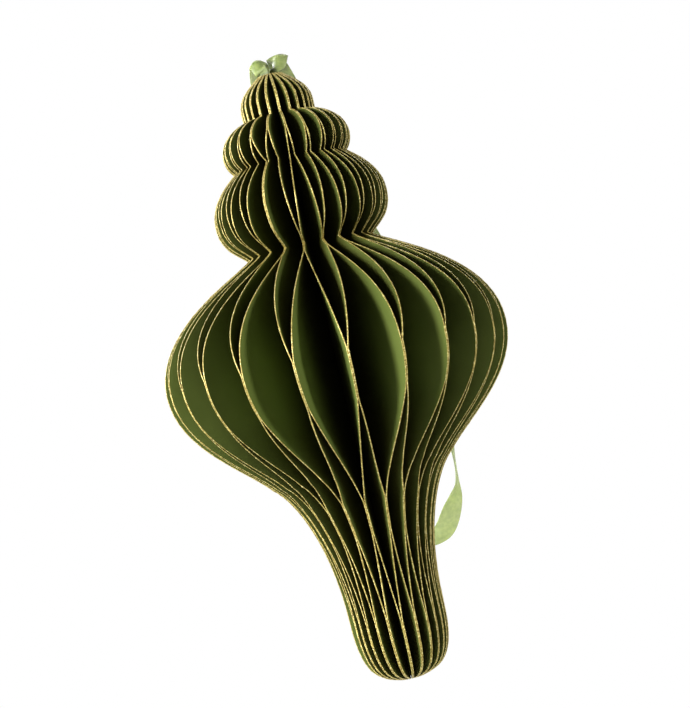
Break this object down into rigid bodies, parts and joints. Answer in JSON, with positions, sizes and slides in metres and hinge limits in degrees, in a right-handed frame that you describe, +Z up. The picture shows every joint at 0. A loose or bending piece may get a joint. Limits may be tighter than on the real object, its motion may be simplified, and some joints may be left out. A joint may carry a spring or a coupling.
{
  "type": "honeycomb paper ornament",
  "caption": "Hanging finial-shaped ornament of half-outline card leaves glued in bands round a spine, so that its cells open as a honeycomb, with a ribbon loop at the top.",
  "frame": {"origin": "top of the spine, where the ribbon comes out: the point that the ornament hangs from", "axes": "+Z up along the spine, -Y towards the side the picture shows, +X to the right of that side"},
  "size_m": [0.0904, 0.0936, 0.1668],
  "materials": {
    "green_card": "matt olive green card with a fine tooth, its cut edges coated in pale gold glitter",
    "green_ribbon": "light green satin ribbon with a soft sheen"
  },
  "bodies": {
    "root": {"leaf_01": "green_card", "leaf_02": "green_card", "leaf_03": "green_card", "leaf_04": "green_card", "leaf_05": "green_card", "leaf_06": "green_card", "leaf_07": "green_card", "leaf_08": "green_card", "leaf_09": "green_card", "leaf_10": "green_card", "leaf_11": "green_card", "leaf_12": "green_card", "leaf_13": "green_card", "leaf_14": "green_card", "leaf_15": "green_card", "leaf_16": "green_card", "leaf_17": "green_card", "leaf_18": "green_card", "leaf_19": "green_card", "leaf_20": "green_card", "leaf_21": "green_card", "leaf_22": "green_card", "leaf_23": "green_card", "leaf_24": "green_card", "leaf_25": "green_card", "leaf_26": "green_card", "leaf_27": "green_card", "leaf_28": "green_card", "leaf_29": "green_card", "leaf_30": "green_card", "leaf_31": "green_card", "leaf_32": "green_card", "leaf_33": "green_card", "leaf_34": "green_card", "leaf_35": "green_card", "leaf_36": "green_card", "leaf_37": "green_card", "leaf_38": "green_card", "leaf_39": "green_card", "leaf_40": "green_card", "leaf_41": "green_card", "leaf_42": "green_card", "leaf_43": "green_card", "leaf_44": "green_card", "leaf_45": "green_card", "leaf_46": "green_card", "leaf_47": "green_card", "leaf_48": "green_card", "leaf_49": "green_card", "leaf_50": "green_card", "leaf_51": "green_card", "leaf_52": "green_card", "leaf_53": "green_card", "leaf_54": "green_card", "leaf_55": "green_card", "leaf_56": "green_card", "ribbon": "green_ribbon"}
  },
  "joints": []
}
